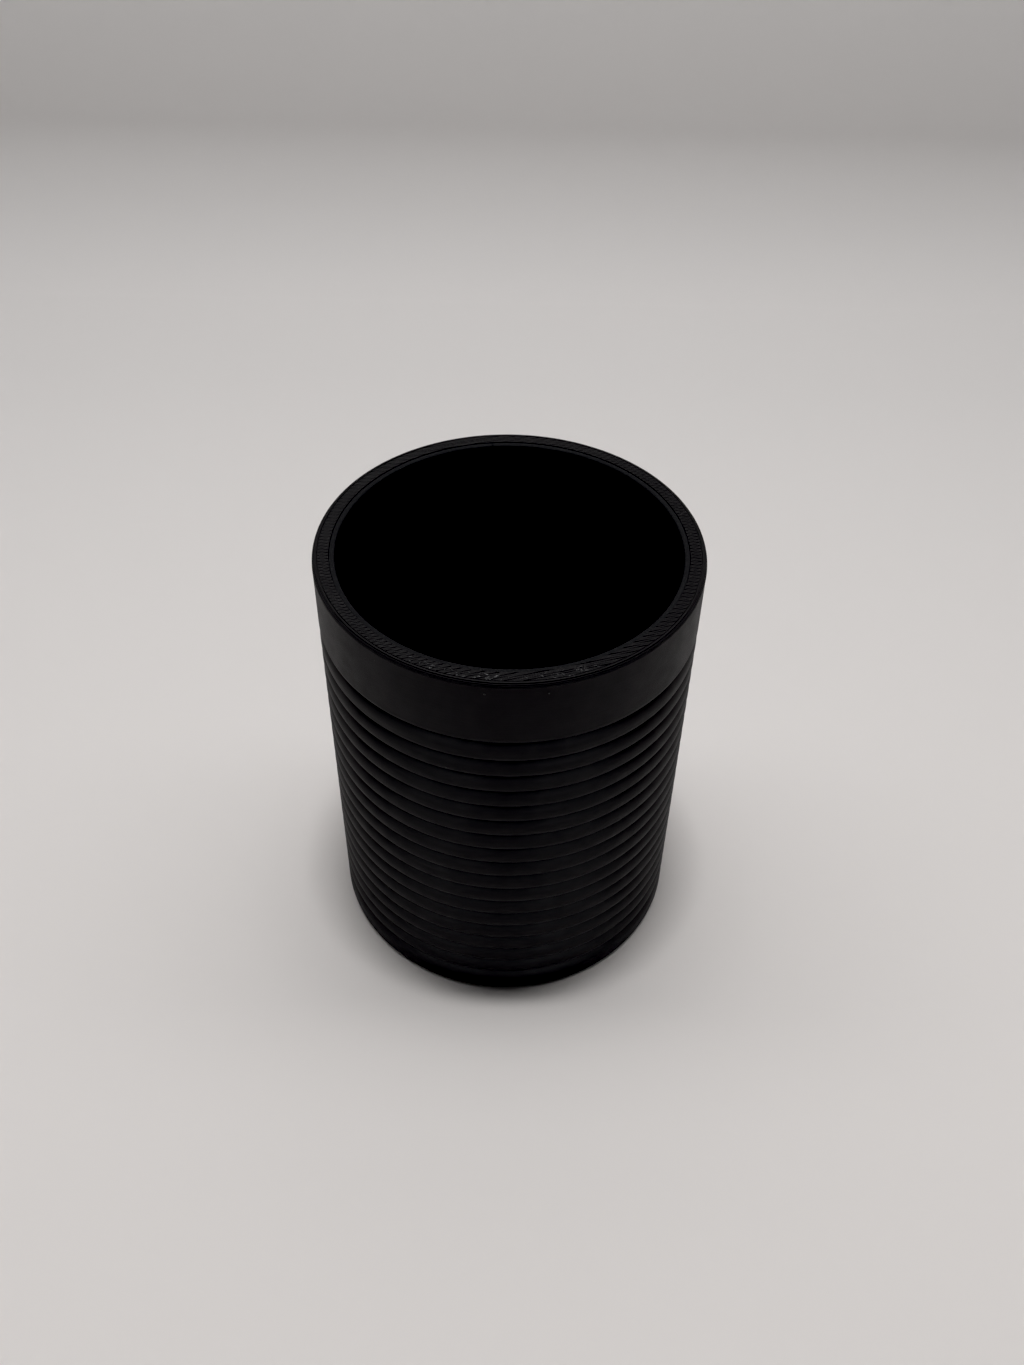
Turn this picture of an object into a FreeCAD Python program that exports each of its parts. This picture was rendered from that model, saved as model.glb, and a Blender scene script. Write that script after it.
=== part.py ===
"""Dice cup: a printed, ribbed plastic shell lined with leather, standing on a thin leather pad.

Millimetres, +Z up. The origin is the centre of the underside, on the surface the cup stands on.
Every piece is round about Z. From the outside in:

    ribbed_shell   the printed cup: smooth top band, level ribs, plain base band, rounded edges
    wall_lining    a leather strip rolled into a sleeve and glued in the bore, up to the rim
    floor_lining   a thicker leather disc glued on the shell's floor, under the sleeve
    base_pad       a leather disc glued in the shallow recess underneath, a little proud of it
"""
import FreeCAD, Part
import math
import os

import Sketcher
from FreeCAD import Vector

DIMENSIONS = {
    # the shell's outside; heights of ribs are measured down from the rim face
    "outer_radius": 35.0,
    "shell_height": 88.8,
    "band_height": 13.85,
    "first_rib": 4.45,
    "rib_pitch": 4.03,
    "rib_count": 17,
    "groove_depth": 1.35,
    "groove_height": 3.0,
    "edge_round": 0.9,
    # the shell's hollow and its underside
    "bore_radius": 32.0,
    "bore_chamfer": 0.1,
    "floor_thick": 3.0,
    "recess_radius": 31.0,
    "recess_depth": 1.0,
    # the leather pieces
    "glue_line": 0.05,
    "wall_leather": 1.0,
    "floor_leather": 2.0,
    "pad_proud": 0.4,
    "below_rim": 0.15,
    "lining_round": 0.55,
    "lining_bevel": 0.1,
    "disc_round": 0.3,
    # how far a cutting outline reaches past the surface that it cuts
    "overcut": 1.0,
}
# Heights above the origin that several pieces share, as sums of the dimensions.
RIM = "pad_proud + shell_height"
BAND_EDGE = RIM + " - band_height"
FIRST_RIB_EDGE = BAND_EDGE + " - first_rib"
SHELL_FLOOR = "pad_proud + floor_thick"
LEATHER_FLOOR = SHELL_FLOOR + " + glue_line + floor_leather"


def total(terms):
    """The value of a sum of named dimensions, such as 'shell_height - band_height'."""
    value = 0.0
    sign = 1
    for word in terms.split():
        if word == "+":
            sign = 1
        elif word == "-":
            sign = -1
        else:
            value += sign * DIMENSIONS[word]
    return value


def bound(terms):
    """The same sum as an expression on the spreadsheet's cells."""
    return " ".join(word if word in "+-" else f"Dims.{word}" for word in terms.split())


def make_sheet(doc):
    """The spreadsheet: each row is a dimension's name and its value, with the name as alias."""
    sheet = doc.addObject("Spreadsheet::Sheet", "Dims")
    for row, (name, value) in enumerate(DIMENSIONS.items(), start=1):
        sheet.set(f"A{row}", name)
        sheet.set(f"B{row}", str(value))
        sheet.setAlias(f"B{row}", name)
    doc.recompute()


def new_body(doc, name):
    body = doc.addObject("PartDesign::Body", name)
    body.Label = name
    return body


def origin_feature(body, role):
    """One of a body's own origin planes or axes, such as XZ_Plane or Z_Axis."""
    return next(f for f in body.Origin.OriginFeatures if f.Role == role)


def new_sketch(body, name, plane):
    sketch = body.newObject("Sketcher::SketchObject", name)
    sketch.AttachmentSupport = (origin_feature(body, plane), [""])
    sketch.MapMode = "FlatFace"
    return sketch


def bind_distance(sketch, kind, label, line, end, terms):
    """Holds a line's end (1 or 2), or an arc's centre (3), at a named distance from the origin."""
    distance = Sketcher.Constraint(kind, -1, 1, line, end, total(terms))
    index = sketch.addConstraint(distance)
    sketch.renameConstraint(index, label)
    sketch.setExpression(f"Constraints.{label}", bound(terms))


def profile(body, name, corners):
    """A closed half outline in the XZ plane with straight sides.

    Each corner is a pair of sums, its radius and its height. An empty radius is on the axis."""
    sketch = new_sketch(body, name, "XZ_Plane")
    points = [Vector(total(radius), total(height), 0) for radius, height in corners]
    count = len(points)
    for i in range(count):
        sketch.addGeometry(Part.LineSegment(points[i], points[(i + 1) % count]), False)
    for i in range(count):
        sketch.addConstraint(Sketcher.Constraint("Coincident", i, 2, (i + 1) % count, 1))
    for i, (radius, height) in enumerate(corners):
        if radius:
            bind_distance(sketch, "DistanceX", f"radius_{i}", i, 1, radius)
        else:
            sketch.addConstraint(Sketcher.Constraint("PointOnObject", i, 1, -2))
        bind_distance(sketch, "DistanceY", f"height_{i}", i, 1, height)
    return sketch


def turned(body, kind, name, sketch):
    """A full turn of an outline about Z: kind is Revolution to add, Groove to cut."""
    feature = body.newObject(f"PartDesign::{kind}", name)
    feature.Profile = sketch
    feature.ReferenceAxis = (origin_feature(body, "Z_Axis"), [""])
    feature.Angle = 360
    body.Document.recompute()
    return feature


def disc_sketch(body, name, radius, height):
    """A circle about Z at a height above the origin."""
    sketch = new_sketch(body, name, "XY_Plane")
    sketch.AttachmentOffset = FreeCAD.Placement(Vector(0, 0, 0), FreeCAD.Rotation())
    if height:
        sketch.setExpression("AttachmentOffset.Base.z", bound(height))
    sketch.addGeometry(Part.Circle(Vector(0, 0, 0), Vector(0, 0, 1), total(radius)), False)
    sketch.addConstraint(Sketcher.Constraint("Coincident", 0, 3, -1, 1))
    index = sketch.addConstraint(Sketcher.Constraint("Radius", 0, total(radius)))
    sketch.renameConstraint(index, "radius")
    sketch.setExpression("Constraints.radius", bound(radius))
    return sketch


def round_edges(shape, places):
    """Names of the shape's circular edges at the given (radius, height) places, each a sum."""
    names = []
    for radius, height in places:
        for number, edge in enumerate(shape.Edges, start=1):
            curve = edge.Curve
            if not isinstance(curve, Part.Circle):
                continue
            same_radius = abs(curve.Radius - total(radius)) < 1e-4
            same_height = abs(curve.Center.z - total(height)) < 1e-4
            if same_radius and same_height:
                names.append(f"Edge{number}")
    if len(names) != len(places):
        raise ValueError(f"{len(names)} edges found for {len(places)} places")
    return names


def dress(body, kind, name, places, size_property, size):
    """A Fillet or Chamfer of one size on circular edges of the body as it stands."""
    base = body.Tip
    feature = body.newObject(f"PartDesign::{kind}", name)
    feature.Base = (base, round_edges(base.Shape, places))
    feature.setExpression(size_property, bound(size))
    body.Document.recompute()
    return feature


def cut_away(body, feature, before):
    """Stops the build if a cutting feature took nothing off the body."""
    if feature.Shape.Volume > before - 1e-3:
        raise ValueError(f"{feature.Name} of {body.Name} cuts nothing")


def shell_blank(body):
    """The plain cup, before the ribs: a thick wall and a floor."""
    corners = [
        ("", "pad_proud"),
        ("outer_radius", "pad_proud"),
        ("outer_radius", RIM),
        ("bore_radius", RIM),
        ("bore_radius", SHELL_FLOOR),
        ("", SHELL_FLOOR),
    ]
    turned(body, "Revolution", "shell_wall", profile(body, "shell_outline", corners))


def groove_outline(body, name, top):
    """A level overhang, then a scoop that swings out to meet the next rib's face smoothly.

    The scoop is an arc whose centre is level with its lower end, so it ends upright there."""
    corners = [
        ("outer_radius + overcut", top),
        ("outer_radius - groove_depth", top),
        ("outer_radius", top + " - groove_height"),
        ("outer_radius + overcut", top + " - groove_height"),
    ]
    outer, root, land, under = [Vector(total(r), total(z), 0) for r, z in corners]
    depth = DIMENSIONS["groove_depth"]
    height = DIMENSIONS["groove_height"]
    scoop = (depth ** 2 + height ** 2) / (2 * depth)
    circle = Part.Circle(Vector(land.x - scoop, land.y, 0), Vector(0, 0, 1), scoop)
    sketch = new_sketch(body, name + "_outline", "XZ_Plane")
    sketch.addGeometry(Part.LineSegment(outer, root), False)
    sketch.addGeometry(Part.ArcOfCircle(circle, 0, math.asin(height / scoop)), False)
    sketch.addGeometry(Part.LineSegment(land, under), False)
    sketch.addGeometry(Part.LineSegment(under, outer), False)
    meetings = [(0, 2, 1, 2), (1, 1, 2, 1), (2, 2, 3, 1), (3, 2, 0, 1)]
    for line, end, other, other_end in meetings:
        sketch.addConstraint(Sketcher.Constraint("Coincident", line, end, other, other_end))
    places = [(0, 1), (0, 2), (2, 1), (2, 2)]
    for (line, end), (radius, level) in zip(places, corners):
        bind_distance(sketch, "DistanceX", f"radius_{line}_{end}", line, end, radius)
        bind_distance(sketch, "DistanceY", f"height_{line}_{end}", line, end, level)
    bind_distance(sketch, "DistanceY", "centre_height", 1, 3, top + " - groove_height")
    return sketch


def rib_groove(body, name, top):
    """One groove, turned out of the wall. Above it is the sharp lower edge of a rib."""
    before = body.Tip.Shape.Volume
    groove = turned(body, "Groove", name, groove_outline(body, name, top))
    cut_away(body, groove, before)
    return groove


def rib_pattern(body, groove):
    """A groove under every rib's edge, one rib pitch apart, going down."""
    before = body.Tip.Shape.Volume
    pattern = body.newObject("PartDesign::LinearPattern", "ribs")
    pattern.Originals = [groove]
    pattern.Direction = (origin_feature(body, "Z_Axis"), [""])
    pattern.Reversed = True
    pattern.setExpression("Occurrences", "Dims.rib_count")
    pattern.setExpression("Length", "Dims.rib_pitch * (Dims.rib_count - 1)")
    body.Tip = pattern
    body.Document.recompute()
    cut_away(body, pattern, before)


def pad_recess(body):
    """The shallow round recess in the underside."""
    before = body.Tip.Shape.Volume
    sketch = disc_sketch(body, "recess_circle", "recess_radius", "")
    recess = body.newObject("PartDesign::Pocket", "recess")
    recess.Profile = sketch
    recess.Reversed = True
    recess.setExpression("Length", bound("pad_proud + recess_depth"))
    body.Document.recompute()
    cut_away(body, recess, before)


def ribbed_shell(doc):
    body = new_body(doc, "ribbed_shell")
    shell_blank(body)
    rib_groove(body, "band_groove", BAND_EDGE)
    groove = rib_groove(body, "first_rib_groove", FIRST_RIB_EDGE)
    rib_pattern(body, groove)
    pad_recess(body)
    outer_edges = [("outer_radius", RIM), ("outer_radius", "pad_proud")]
    dress(body, "Fillet", "outer_rounding", outer_edges, "Radius", "edge_round")
    dress(body, "Chamfer", "bore_edge", [("bore_radius", RIM)], "Size", "bore_chamfer")
    return body


def wall_lining(doc):
    body = new_body(doc, "wall_lining")
    outside = "bore_radius - glue_line"
    inside = outside + " - wall_leather"
    bottom = LEATHER_FLOOR + " + glue_line"
    top = RIM + " - below_rim"
    corners = [(inside, bottom), (outside, bottom), (outside, top), (inside, top)]
    turned(body, "Revolution", "sleeve", profile(body, "sleeve_outline", corners))
    dress(body, "Fillet", "mouth_rounding", [(inside, top)], "Radius", "lining_round")
    dress(body, "Chamfer", "rim_bevel", [(outside, top)], "Size", "lining_bevel")
    return body


def leather_disc(doc, name, radius, bottom, thickness, rounded):
    """A flat disc with its exposed edge rounded: rounded is that edge's height."""
    body = new_body(doc, name)
    sketch = disc_sketch(body, name + "_circle", radius, bottom)
    disc = body.newObject("PartDesign::Pad", name + "_disc")
    disc.Profile = sketch
    disc.setExpression("Length", bound(thickness))
    doc.recompute()
    dress(body, "Fillet", name + "_rounding", [(radius, rounded)], "Radius", "disc_round")
    return body


def floor_lining(doc):
    bottom = SHELL_FLOOR + " + glue_line"
    radius = "bore_radius - glue_line"
    return leather_disc(doc, "floor_lining", radius, bottom, "floor_leather", LEATHER_FLOOR)


def base_pad(doc):
    radius = "recess_radius - glue_line - glue_line"
    thickness = "pad_proud + recess_depth - glue_line"
    return leather_disc(doc, "base_pad", radius, "", thickness, "")


def check_document(doc):
    for thing in doc.Objects:
        if "Invalid" in thing.State or "Error" in thing.State:
            raise ValueError(f"{thing.Label} failed: {thing.State}")


def check_piece(body):
    shape = body.Shape
    if shape.isNull() or not shape.isValid() or len(shape.Solids) != 1:
        raise ValueError(f"{body.Label} is not one valid solid")


def main():
    doc = FreeCAD.newDocument("dice_cup")
    make_sheet(doc)
    pieces = [ribbed_shell(doc), wall_lining(doc), floor_lining(doc), base_pad(doc)]
    doc.recompute()
    check_document(doc)
    os.makedirs("parts", exist_ok=True)
    for body in pieces:
        check_piece(body)
        body.Shape.exportStep(f"parts/{body.Label}.step")
        box = body.Shape.BoundBox
        print(f"{body.Label}: {body.Shape.Volume:.0f} mm3, z {box.ZMin:.2f} to {box.ZMax:.2f}")


main()
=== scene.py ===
"""Looks of the dice cup: a black printed, ribbed shell with a leather lining and a leather pad.

Metres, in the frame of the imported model: +Z up, the cup stands on z = 0, its axis is the Z axis.
Each CAD node is replaced by a detailed piece of the same place and size.
"""
import math
import random

import bpy
from mathutils import Matrix, Vector, noise


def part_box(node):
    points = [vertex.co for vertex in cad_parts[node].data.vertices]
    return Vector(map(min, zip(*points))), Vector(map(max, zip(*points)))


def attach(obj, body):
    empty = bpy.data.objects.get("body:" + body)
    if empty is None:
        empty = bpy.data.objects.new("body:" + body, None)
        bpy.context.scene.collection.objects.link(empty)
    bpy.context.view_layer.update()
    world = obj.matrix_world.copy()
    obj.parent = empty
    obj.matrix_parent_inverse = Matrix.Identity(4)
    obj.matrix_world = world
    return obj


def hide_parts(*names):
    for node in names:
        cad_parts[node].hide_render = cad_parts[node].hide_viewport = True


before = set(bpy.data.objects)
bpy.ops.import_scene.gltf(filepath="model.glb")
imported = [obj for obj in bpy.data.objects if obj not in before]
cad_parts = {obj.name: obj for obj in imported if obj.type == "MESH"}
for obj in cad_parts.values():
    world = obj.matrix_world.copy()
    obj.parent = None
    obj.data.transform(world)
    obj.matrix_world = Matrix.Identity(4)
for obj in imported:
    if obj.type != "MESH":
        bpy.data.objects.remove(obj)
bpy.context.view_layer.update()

MM = 0.001
# Points round a ring, how many times more the rim face has, and the angle of a sharp edge.
SEGMENTS = 360
FINE = 10
SHARP = math.radians(40)
SEED = 17
# The linear level of red, green and blue that shows as black.
BLACK = (0.0109, 0.0107, 0.0100)

# Places that the frame gives.
SHELL_LOW, SHELL_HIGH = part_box("ribbed_shell")
WALL_LOW, WALL_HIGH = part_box("wall_lining")
FLOOR_LOW, FLOOR_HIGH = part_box("floor_lining")
PAD_LOW, PAD_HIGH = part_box("base_pad")
OUTER = SHELL_HIGH.x
RIM = SHELL_HIGH.z
FOOT = SHELL_LOW.z
GLUE = 0.05 * MM
BORE = WALL_HIGH.x + GLUE

# The print: heights of the ribs are measured down from the rim, and angles are in degrees.
LAYER = 0.2 * MM
LINE = 0.42 * MM
CORNER = 0.015 * MM
VALLEY = 0.06 * MM
LINE_DIRECTION = 17
GAP_DEPTH = 0.2 * MM
GAP_WIDTH = 0.75
LINES_FADE = 0.12 * MM
WANDER = 0.012 * MM
WANDER_SIZE = 1.1 * MM
TRENCH = 0.11 * MM
TRENCH_DEPTH = 0.2 * MM
BAND = 13.85 * MM
FIRST_RIB = 4.45 * MM
RIB_PITCH = 4.03 * MM
RIB_COUNT = 17
GROOVE_DEPTH = 1.35 * MM
GROOVE_HEIGHT = 3.0 * MM
ROUND = 0.9 * MM
CHAMFER = 0.05 * MM
LIP = 0.12 * MM
LEAN = 25
LEAN_RADIUS = 2.0 * MM

# Stray filament: groups on the rim (middle, spread in degrees, count), and nibs on the outside
# (degrees, depth below the rim, radius).
WISP_GROUPS = ((264, 3.5, 16), (290, 4.5, 18), (277, 12, 12), (244, 6, 10))
NIBS = ((264, 2.3 * MM, 0.13 * MM), (281, 2.3 * MM, 0.12 * MM), (231.5, 2.4 * MM, 0.08 * MM),
        (253, 21.6 * MM, 0.14 * MM))

# The leather.
SLEEVE_THICK = 1.0 * MM
SLEEVE_ROUND = 0.42 * MM
SLEEVE_BEVEL = 0.05 * MM
WAVE_DEPTH = 0.05 * MM
WAVE_HEIGHT = 30 * MM
DISC_ROUND = 0.3 * MM
DISC_DIP = 0.05 * MM
DISC_DIP_SIZE = 9 * MM
SEAM_ANGLE = math.radians(97)
SEAM_DEPTH = 0.28 * MM
SEAM_WIDTH = 0.22 * MM


class Surface:
    """A mesh that grows ring by ring about the Z axis."""

    def __init__(self):
        self.points = []
        self.faces = []

    def ring(self, radius, height, count=SEGMENTS, shape=None):
        """A ring of points. shape(angle, radius, height) moves a point to a new radius and height."""
        first = len(self.points)
        for i in range(count):
            angle = 2 * math.pi * i / count
            r, z = shape(angle, radius, height) if shape else (radius, height)
            self.points.append((r * math.cos(angle), r * math.sin(angle), z))
        return first, count

    def pole(self, height):
        """One point on the axis, as a ring of one."""
        self.points.append((0.0, 0.0, height))
        return len(self.points) - 1, 1

    def join(self, one, two):
        """Faces between two rings. Their counts may differ by a whole factor."""
        first, count = one
        other, other_count = two
        pieces = min(count, other_count)
        if pieces == 1:
            pieces = max(count, other_count)
        for i in range(pieces):
            near = self._span(first, count, i, pieces)
            far = self._span(other, other_count, i, pieces)
            self.faces.append(near + far[::-1])

    @staticmethod
    def _span(first, count, i, pieces):
        """The points of a ring along the i-th of so many pieces, both ends included."""
        if count == 1:
            return [first]
        step = count // pieces
        return [first + (i * step + k) % count for k in range(step + 1)]

    def tube(self, centres, radii, sides=8):
        """A closed worm along a few centres, with a radius at each."""
        rings = []
        for k, (centre, radius) in enumerate(zip(centres, radii)):
            ahead = centres[min(k + 1, len(centres) - 1)]
            behind = centres[max(k - 1, 0)]
            along = (ahead - behind).normalized()
            side = along.cross(Vector((0, 0, 1))).normalized()
            up = side.cross(along)
            first = len(self.points)
            for i in range(sides):
                angle = 2 * math.pi * i / sides
                point = centre + radius * (math.cos(angle) * side + math.sin(angle) * up)
                self.points.append(tuple(point))
            rings.append((first, sides))
        for one, two in zip(rings, rings[1:]):
            self.join(one, two)
        self.faces.append([rings[0][0] + i for i in range(sides)][::-1])
        self.faces.append([rings[-1][0] + i for i in range(sides)])

    def build(self, name, material):
        mesh = bpy.data.meshes.new(name)
        mesh.from_pydata(self.points, [], self.faces)
        mesh.shade_smooth()
        mesh.set_sharp_from_angle(angle=SHARP)
        mesh.materials.append(material)
        mesh.validate()
        piece = bpy.data.objects.new(name, mesh)
        bpy.context.scene.collection.objects.link(piece)
        return piece


def lathe(surface, outline, first=None):
    """Rings for an outline of (radius, height) pairs, joined in order. Radius 0 is a pole."""
    last = first
    for radius, height in outline:
        ring = surface.ring(radius, height) if radius > 0 else surface.pole(height)
        if last is not None:
            surface.join(last, ring)
        last = ring
    return last


def arc(centre_r, centre_z, radius, start, end, steps):
    """Points of an arc in the half plane, angles in degrees from outward, towards up."""
    points = []
    for k in range(steps + 1):
        angle = math.radians(start + (end - start) * k / steps)
        points.append((centre_r + radius * math.cos(angle), centre_z + radius * math.sin(angle)))
    return points


# ---- the printed shell ----

def layer_side(radius, top):
    """The blunt outer side of one printed layer, from its top down."""
    upper = arc(radius - CORNER, top - CORNER, CORNER, 90, 0, 3)
    lower = arc(radius - CORNER, top - LAYER + CORNER, CORNER, 0, -90, 3)
    return upper + lower


def rounded_layers(edge, direction):
    """Layers that follow the rounded outer edge at a height. direction is -1 down from the rim, and
    1 up from the foot."""
    points = []
    count = int(ROUND / LAYER)
    for k in range(count + 1):
        below = min((k + 0.5) * LAYER, ROUND)
        radius = OUTER - ROUND + math.sqrt(ROUND ** 2 - (ROUND - below) ** 2)
        layer = layer_side(radius, -k * LAYER)
        if k == 1:
            # A thin notch parts the outermost layer from the next one.
            layer.insert(0, (last_radius - CORNER, -LAYER - VALLEY))
            layer.insert(1, (last_radius - CORNER + 0.5 * VALLEY, -LAYER))
        last_radius = radius
        points += [(r, edge - direction * z) for r, z in layer]
    return points


def rib_edge(top):
    """The lower edge of a rib: its last layers lean in a little, then it turns under sharply."""
    lean = math.radians(LEAN)
    inset = LEAN_RADIUS - LIP
    leaning = arc(OUTER - LEAN_RADIUS, top + LIP + inset * math.sin(lean), LEAN_RADIUS, 0, -LEAN, 6)
    turning = arc(OUTER - LEAN_RADIUS + inset * math.cos(lean), top + LIP, LIP, -LEAN, -90, 5)
    return leaning + turning[1:]


def groove(top):
    """A rib's lower edge, its level overhang, and the scoop that swings back out to the next land."""
    scoop = (GROOVE_DEPTH ** 2 + GROOVE_HEIGHT ** 2) / (2 * GROOVE_DEPTH)
    start = math.degrees(math.asin(GROOVE_HEIGHT / scoop))
    return rib_edge(top) + arc(OUTER - scoop, top - GROOVE_HEIGHT, scoop, start, 0, 14)


def shell_outside():
    """The outside from under the rim's rounded edge down to the foot, without the rim face."""
    points = rounded_layers(RIM, -1)
    band_edge = RIM - BAND
    points += groove(band_edge)
    for k in range(RIB_COUNT):
        points += groove(band_edge - FIRST_RIB - k * RIB_PITCH)
    points += rounded_layers(FOOT, 1)[::-1]
    return points


def rim_height(x, y, inner, outer):
    """How far the printed rim face lies below its highest plane at a point.

    Lines of filament cross the face in one direction and turn back in pairs at its edges, so the
    gaps between them close at one edge and open at the other."""
    direction = math.radians(LINE_DIRECTION)
    across = -x * math.sin(direction) + y * math.cos(direction)
    gap = round(across / LINE)
    offset = 2 * abs(across / LINE - gap)
    radius = math.hypot(x, y)
    along = min(max((radius - inner) / (outer - inner), 0), 1)
    open_here = along if gap % 2 else 1 - along
    valley = max(0.0, 1 - offset / GAP_WIDTH) ** 2
    wander = noise.noise(Vector((x, y, 0)) / WANDER_SIZE)
    fade = min(1.0, max(0.0, (outer - radius) / LINES_FADE))
    depth = GAP_DEPTH * (0.25 + open_here) * valley * fade
    return depth + WANDER * (1 + wander)


def rim_face(surface, last):
    """The flat face of the rim: fine rings, displaced by the lines of the print."""
    inner = BORE + CHAMFER
    outer = OUTER - ROUND + math.sqrt(ROUND ** 2 - (ROUND - 0.5 * LAYER) ** 2) - CORNER
    lines_end = outer - LINE - 0.5 * TRENCH
    steps = 28

    def shape(angle, radius, height):
        x, y = radius * math.cos(angle), radius * math.sin(angle)
        return radius, height - rim_height(x, y, inner, lines_end)

    for k in range(steps + 1):
        radius = inner + (lines_end - inner) * k / steps
        ring = surface.ring(radius, RIM, SEGMENTS * FINE, shape)
        surface.join(last, ring)
        last = ring
    trench = [(lines_end, RIM - TRENCH_DEPTH), (lines_end + TRENCH, RIM - TRENCH_DEPTH),
              (lines_end + TRENCH, RIM)]
    return lathe(surface, trench, last)


def ribbed_shell(material):
    surface = Surface()
    floor = FLOOR_LOW.z - GLUE
    recess = PAD_HIGH.x + 2 * GLUE
    roof = PAD_HIGH.z + GLUE
    last = lathe(surface, [(0, floor), (BORE, floor), (BORE, RIM - CHAMFER)])
    last = rim_face(surface, last)
    last = lathe(surface, shell_outside(), last)
    lathe(surface, [(recess, FOOT), (recess, roof), (0, roof)], last)
    return surface.build("ribbed_shell_print", material)


# ---- the leather ----

def lining_sleeve(material):
    """A leather strip rolled into a sleeve: rounded mouth edge, and a butt seam up the wall."""
    inner = WALL_HIGH.x - SLEEVE_THICK
    outer = WALL_HIGH.x
    low, top = WALL_LOW.z, WALL_HIGH.z
    mouth = arc(inner + SLEEVE_ROUND, top - SLEEVE_ROUND, SLEEVE_ROUND, 180, 90, 8)
    heights = 40
    wall = []
    for k in range(heights):
        wall.append((inner, low + (top - SLEEVE_ROUND - low) * k / heights))
    outline = wall + mouth
    outline += [(outer - SLEEVE_BEVEL, top), (outer, top - SLEEVE_BEVEL), (outer, low)]

    def shape(angle, radius, height):
        """Shallow waves of hand-laid leather, and the narrow valley of the seam."""
        where = Vector((math.cos(angle), math.sin(angle), height / WAVE_HEIGHT))
        wave = WAVE_DEPTH * noise.noise(2.5 * where)
        turn = (angle - SEAM_ANGLE + math.pi) % (2 * math.pi) - math.pi
        seam = SEAM_DEPTH * math.exp(-(turn * inner / SEAM_WIDTH) ** 2)
        inside = min(1.0, max(0.0, (outer - radius) / SLEEVE_THICK))
        fall = 0.5 * seam if height > top - SLEEVE_ROUND else 0.0
        return radius + inside * (seam + wave), height - fall - inside * abs(wave)

    surface = Surface()
    rings = []
    for radius, height in outline:
        rings.append(surface.ring(radius, height, SEGMENTS * 2, shape))
    for one, two in zip(rings, rings[1:] + rings[:1]):
        surface.join(one, two)
    return surface.build("wall_lining_leather", material)


def leather_disc(name, low, high, rounded_top, material):
    """A disc cut from leather: gently uneven faces, one rounded edge and one square one."""
    radius = high.x
    steps = 30

    def shape(angle, r, height):
        """The exposed face dips a little, at random."""
        face = high.z if rounded_top else low.z
        if abs(height - face) > DISC_ROUND or not rounded_top:
            return r, height
        where = Vector((r * math.cos(angle), r * math.sin(angle), 0)) / DISC_DIP_SIZE
        return r, height - DISC_DIP * abs(noise.noise(where))

    edge = arc(radius - DISC_ROUND, high.z - DISC_ROUND, DISC_ROUND, 90, 0, 5)
    inner = [((radius - DISC_ROUND) * k / steps, high.z) for k in range(steps)]
    outline = inner + edge + [(radius, low.z), (0, low.z)]
    if not rounded_top:
        outline = [(r, low.z + high.z - z) for r, z in outline][::-1]
    surface = Surface()
    last = None
    for r, z in outline:
        ring = surface.ring(r, z, SEGMENTS, shape) if r > 0 else surface.pole(z)
        if last is not None:
            surface.join(ring, last)
        last = ring
    return surface.build(name, material)


# ---- stray filament ----

def worm(surface, start, heading, length, thick, bend):
    """A short bent blob of filament that lies level: start point, direction, length, radius, turn."""
    steps = 8
    centre = start.copy()
    centres = []
    radii = []
    for i in range(steps + 1):
        part = i / steps
        turn = heading + bend * (part - 0.5)
        centres.append(centre.copy())
        centre = centre + length / steps * Vector((math.cos(turn), math.sin(turn), 0))
        radii.append(thick * (0.25 + 0.75 * math.sin(math.pi * part) ** 0.6))
    surface.tube(centres, radii)


def rim_wisps(material):
    """Curls and blobs of filament left on the front of the rim face, in loose groups."""
    rng = random.Random(SEED)
    surface = Surface()
    for middle, spread, count in WISP_GROUPS:
        for k in range(count):
            angle = math.radians(rng.gauss(middle, spread))
            radius = rng.uniform(BORE + 0.5 * MM, OUTER - ROUND)
            thick = rng.uniform(0.035, 0.085) * MM
            start = Vector((radius * math.cos(angle), radius * math.sin(angle), RIM + 0.4 * thick))
            heading = math.radians(LINE_DIRECTION) + rng.gauss(0, 0.7)
            worm(surface, start, heading, rng.uniform(0.2, 0.9) * MM, thick, rng.gauss(0, 0.8))
    return surface.build("rim_wisps", material)


def wall_nibs(material):
    """Single blobs of filament that stick to the outside of the cup."""
    surface = Surface()
    for degrees, below_rim, size in NIBS:
        angle = math.radians(degrees)
        start = Vector((OUTER * math.cos(angle), OUTER * math.sin(angle), RIM - below_rim))
        worm(surface, start, angle + 0.5 * math.pi, 2.2 * size, size, 0.0)
    return surface.build("wall_nibs", material)


# ---- materials ----

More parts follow.
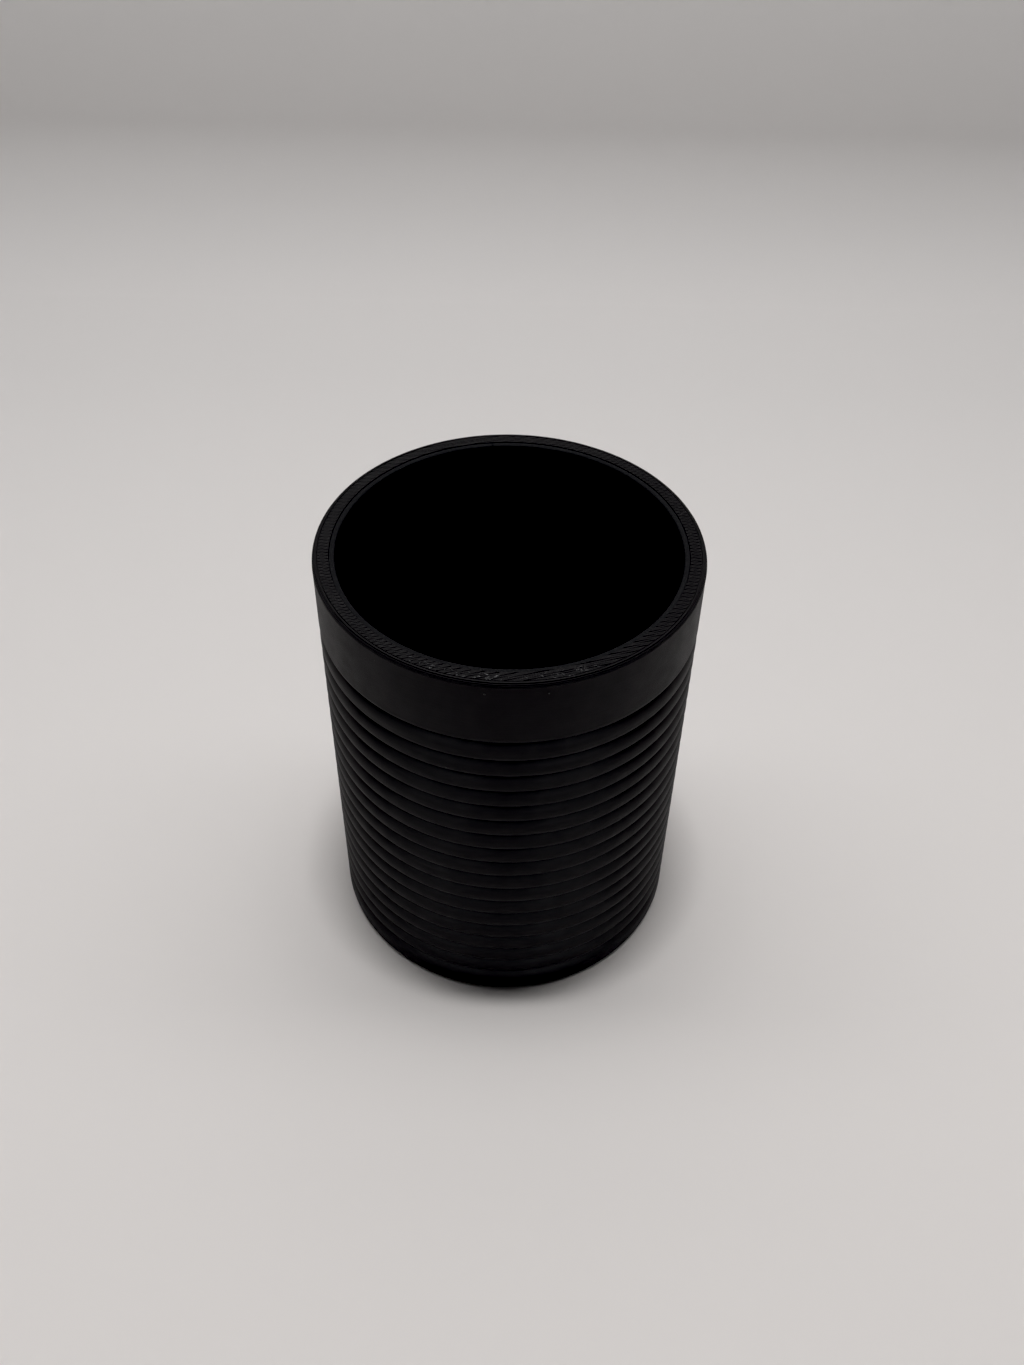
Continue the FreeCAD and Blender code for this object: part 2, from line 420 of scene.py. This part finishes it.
class Nodes:
    """A material's node tree, with short calls to add and link nodes."""

    def __init__(self, name):
        self.material = bpy.data.materials.new(name)
        self.material.use_nodes = True
        self.tree = self.material.node_tree
        self.shader = self.tree.nodes["Principled BSDF"]
        self.place = self.add("ShaderNodeTexCoord").outputs["Object"]

    def add(self, kind, **values):
        node = self.tree.nodes.new(kind)
        for name, value in values.items():
            setattr(node, name, value)
        return node

    def link(self, source, target):
        self.tree.links.new(source, target)

    def set(self, **values):
        for name, value in values.items():
            self.shader.inputs[name.replace("_", " ")].default_value = value

    def noise(self, scale, detail=2.0, place=None):
        node = self.add("ShaderNodeTexNoise")
        node.inputs["Scale"].default_value = scale
        node.inputs["Detail"].default_value = detail
        self.link(place or self.place, node.inputs["Vector"])
        return node.outputs["Fac"]

    def stretched(self, x, y, z):
        node = self.add("ShaderNodeMapping")
        node.inputs["Scale"].default_value = (x, y, z)
        self.link(self.place, node.inputs["Vector"])
        return node.outputs["Vector"]

    def ramp(self, value, low, high, start=0.0, end=1.0):
        """A number mapped from start..end to low..high."""
        node = self.add("ShaderNodeMapRange")
        for name, number in (("From Min", start), ("From Max", end), ("To Min", low), ("To Max", high)):
            node.inputs[name].default_value = number
        self.link(value, node.inputs["Value"])
        return node.outputs["Result"]

    def blend(self, value, dark, light):
        """A colour between two, each three numbers or a socket, by a number from 0 to 1."""
        node = self.add("ShaderNodeMix", data_type="RGBA")
        for name, colour in (("A", dark), ("B", light)):
            if isinstance(colour, tuple):
                node.inputs[name].default_value = (*colour, 1)
            else:
                self.link(colour, node.inputs[name])
        self.link(value, node.inputs["Factor"])
        return node.outputs["Result"]

    def math(self, operation, one, two=None):
        node = self.add("ShaderNodeMath", operation=operation)
        for socket, value in zip(node.inputs, (one, two)):
            if value is None:
                continue
            if isinstance(value, (int, float)):
                socket.default_value = value
            else:
                self.link(value, socket)
        return node.outputs["Value"]

    def bump(self, height, distance, strength=1.0, under=None):
        node = self.add("ShaderNodeBump")
        node.inputs["Strength"].default_value = strength
        node.inputs["Distance"].default_value = distance
        self.link(height, node.inputs["Height"])
        if under is not None:
            self.link(under, node.inputs["Normal"])
        return node.outputs["Normal"]

    def finish(self, colour=None, roughness=None, normal=None):
        if colour is not None:
            self.link(colour, self.shader.inputs["Base Color"])
        if roughness is not None:
            self.link(roughness, self.shader.inputs["Roughness"])
        if normal is not None:
            self.link(normal, self.shader.inputs["Normal"])
        return self.material


def printed_plastic():
    """Matt black filament: level layers 0.2 mm high, each a little different from the next."""
    nodes = Nodes("printed_plastic")
    nodes.set(Specular_IOR_Level=0.17)
    height = nodes.add("ShaderNodeSeparateXYZ")
    nodes.link(nodes.place, height.inputs["Vector"])
    phase = nodes.math("MULTIPLY", height.outputs["Z"], math.pi / LAYER)
    beads = nodes.math("ABSOLUTE", nodes.math("SINE", phase))
    cloud = nodes.noise(300, detail=4)
    per_layer = nodes.noise(1, detail=2, place=nodes.stretched(25, 25, 1 / LAYER))
    grit = nodes.noise(9000, detail=2)
    colour = nodes.blend(per_layer, (0.0042, 0.0036, 0.0038), (0.0070, 0.0060, 0.0062))
    roughness = nodes.ramp(cloud, 0.5, 0.57, 0.3, 0.7)
    normal = nodes.bump(beads, 0.02 * MM, 0.4)
    normal = nodes.bump(per_layer, 0.02 * MM, 0.5, normal)
    normal = nodes.bump(grit, 0.004 * MM, 0.6, normal)
    return nodes.finish(colour, roughness, normal)


def stray_filament_painted_highlight():
    """The same filament, drawn out thin and left glossy; its colour is lighter than the plastic's as
    painted highlight.
    """
    nodes = Nodes("stray_filament_painted_highlight")
    nodes.set(Specular_IOR_Level=0.4)
    cloud = nodes.noise(2500, detail=2)
    # Painted highlight: this colour is lighter than the plastic's, for the light that the thin strands
    # catch.
    colour = nodes.blend(cloud, (0.012, 0.011, 0.012), (0.03, 0.028, 0.029))
    return nodes.finish(colour, nodes.ramp(cloud, 0.26, 0.42, 0.3, 0.7))


def leather(name, dark, light, grain, roughness, specular):
    """Dyed leather: small uneven cells with creases between them, over soft mottling."""
    nodes = Nodes(name)
    nodes.set(Specular_IOR_Level=specular)
    warp = nodes.noise(grain * 0.4, detail=3)
    cells = nodes.add("ShaderNodeTexVoronoi", feature="DISTANCE_TO_EDGE")
    cells.inputs["Scale"].default_value = grain
    cells.inputs["Randomness"].default_value = 1.0
    shifted = nodes.add("ShaderNodeVectorMath", operation="ADD")
    nodes.link(nodes.place, shifted.inputs[0])
    offset = nodes.add("ShaderNodeCombineXYZ")
    for socket in offset.inputs:
        nodes.link(nodes.ramp(warp, -0.4 / grain, 0.4 / grain), socket)
    nodes.link(offset.outputs["Vector"], shifted.inputs[1])
    nodes.link(shifted.outputs["Vector"], cells.inputs["Vector"])
    pebbles = nodes.ramp(cells.outputs["Distance"], 0, 1, 0.0, 0.25)
    mottle = nodes.noise(90, detail=5)
    fine = nodes.noise(grain * 6, detail=3)
    colour = nodes.blend(mottle, dark, light)
    rough = nodes.ramp(pebbles, roughness + 0.12, roughness)
    normal = nodes.bump(pebbles, 0.06 * MM, 0.7)
    normal = nodes.bump(fine, 0.01 * MM, 0.6, normal)
    return nodes.finish(colour, rough, normal)


def paper():
    """The pale sheet that the cup stands on, running up behind it, with painted shade darker towards
    the back of the floor and painted light lighter up the wall.
    """
    nodes = Nodes("paper")
    nodes.set(Roughness=0.95, Specular_IOR_Level=0.1)
    place = nodes.add("ShaderNodeSeparateXYZ")
    nodes.link(nodes.place, place.inputs["Vector"])
    # Painted shade: the floor's colour darkens towards the back, where the lamps' light falls off.
    back = nodes.ramp(place.outputs["Y"], 0, 1, -0.11, 0.2)
    # Painted light: the colour lightens going up the back wall.
    wall_painted_light = nodes.ramp(place.outputs["Z"], 0, 1, 0.02, 0.15)
    mottle = nodes.noise(7, detail=2)
    front = nodes.blend(mottle, (0.815, 0.78, 0.762), (0.835, 0.80, 0.78))
    # Painted shade in the darker back colour, and painted light in the lighter wall colour.
    floor = nodes.blend(back, front, (0.675, 0.655, 0.645))
    return nodes.finish(nodes.blend(wall_painted_light, floor, (0.79, 0.775, 0.765)))


# ---- stage, light and camera ----

SWEEP_START = 0.25
SWEEP_RADIUS = 0.045
GLOW_ACROSS = 1.38

# The camera: focal length in mm, tilt up from straight down and roll in degrees, and its place from
# the centre of the rim, in outer radii.
LENS = 33.975
TILT = 44.967
ROLL = 1.088
CAMERA_X, CAMERA_Y, CAMERA_Z = 0.0243, -5.1085, 4.1318


def sweep_stage(material):
    """The floor, curved up into a plain back wall."""
    half = 1.2
    front = -1.2
    top = 0.9
    steps = 24
    line = [(front, 0.0), (SWEEP_START, 0.0)]
    for k in range(1, steps + 1):
        angle = 0.5 * math.pi * k / steps
        back = SWEEP_START + SWEEP_RADIUS * math.sin(angle)
        line.append((back, SWEEP_RADIUS * (1 - math.cos(angle))))
    line.append((SWEEP_START + SWEEP_RADIUS, top))
    points = []
    for y, z in line:
        points += [(-half, y, z), (half, y, z)]
    faces = [(2 * i, 2 * i + 1, 2 * i + 3, 2 * i + 2) for i in range(len(line) - 1)]
    mesh = bpy.data.meshes.new("floor")
    mesh.from_pydata(points, [], faces)
    mesh.shade_smooth()
    mesh.materials.append(material)
    floor = bpy.data.objects.new("floor", mesh)
    bpy.context.scene.collection.objects.link(floor)


def area_light(name, place, target, size, watts):
    """A flat light at a place, turned to face a target."""
    data = bpy.data.lights.new(name, "AREA")
    data.shape = "RECTANGLE"
    data.size, data.size_y = size
    data.energy = watts
    light = bpy.data.objects.new(name, data)
    light.location = place
    light.rotation_euler = (Vector(target) - Vector(place)).to_track_quat("-Z", "Y").to_euler()
    bpy.context.scene.collection.objects.link(light)
    return light


def studio_light():
    """Soft light from above, wide to both sides, and low panels in front that show only as gloss."""
    area_light("key", (0, -0.01, 0.75), (0, -0.01, 0), size=(0.09, 0.025), watts=1.6)
    area_light("panel", (0, 0.04, 0.75), (0, 0.04, 0), size=(0.3, 0.1), watts=0.7)
    area_light("wide", (0, 0.1, 0.75), (0, 0.1, 0), size=(1.6, 0.2), watts=2.75)
    area_light("front", (0, -1.2, 0.2), (0, 0, 0.2), size=(2.0, 0.4), watts=1.0)
    for name, side in (("glow_left", -1), ("glow_right", 1)):
        across = GLOW_ACROSS * side
        glow = area_light(name, (across, -1.25, 0.1), (across, 0, 0.1), size=(2.24, 0.2), watts=10.7)
        glow.visible_diffuse = False
    world = bpy.data.worlds.new("room")
    bpy.context.scene.world = world
    world.use_nodes = True
    background = world.node_tree.nodes["Background"]
    background.inputs["Color"].default_value = (1, 0.98, 0.96, 1)
    background.inputs["Strength"].default_value = 0.02


def tone_curve():
    """A plain view with the darkest tones set to black, as a camera does."""
    view = bpy.context.scene.view_settings
    view.view_transform = "Standard"
    view.use_curve_mapping = True
    view.curve_mapping.black_level = BLACK
    view.curve_mapping.update()


def place_camera():
    """45 degrees down at the cup from the front, rolled by about one degree."""
    data = bpy.data.cameras.new("camera")
    data.sensor_width = 36
    data.lens = LENS
    camera = bpy.data.objects.new("camera", data)
    tilt = Matrix.Rotation(math.radians(TILT), 4, "X")
    roll = Matrix.Rotation(math.radians(ROLL), 4, "Z")
    place = Vector((CAMERA_X * OUTER, CAMERA_Y * OUTER, RIM + CAMERA_Z * OUTER))
    camera.matrix_world = Matrix.Translation(place) @ tilt @ roll
    bpy.context.scene.collection.objects.link(camera)
    bpy.context.scene.camera = camera


def show(piece, node):
    """Puts a detailed piece in the place of a CAD node."""
    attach(piece, "root")
    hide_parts(node)


def main():
    tone_curve()
    plastic = printed_plastic()
    lining = leather("lining_leather", (0.010, 0.0099, 0.0105), (0.016, 0.0158, 0.016), 1100, 0.68, 0.1)
    pad = leather("pad_leather", (0.011, 0.010, 0.009), (0.018, 0.016, 0.015), 700, 0.8, 0.3)
    show(ribbed_shell(plastic), "ribbed_shell")
    show(lining_sleeve(lining), "wall_lining")
    show(leather_disc("floor_lining_leather", FLOOR_LOW, FLOOR_HIGH, True, lining), "floor_lining")
    show(leather_disc("base_pad_leather", PAD_LOW, PAD_HIGH, False, pad), "base_pad")
    stray = stray_filament_painted_highlight()
    for piece in (rim_wisps(stray), wall_nibs(stray)):
        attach(piece, "root")
    sweep_stage(paper())
    studio_light()
    place_camera()


main()
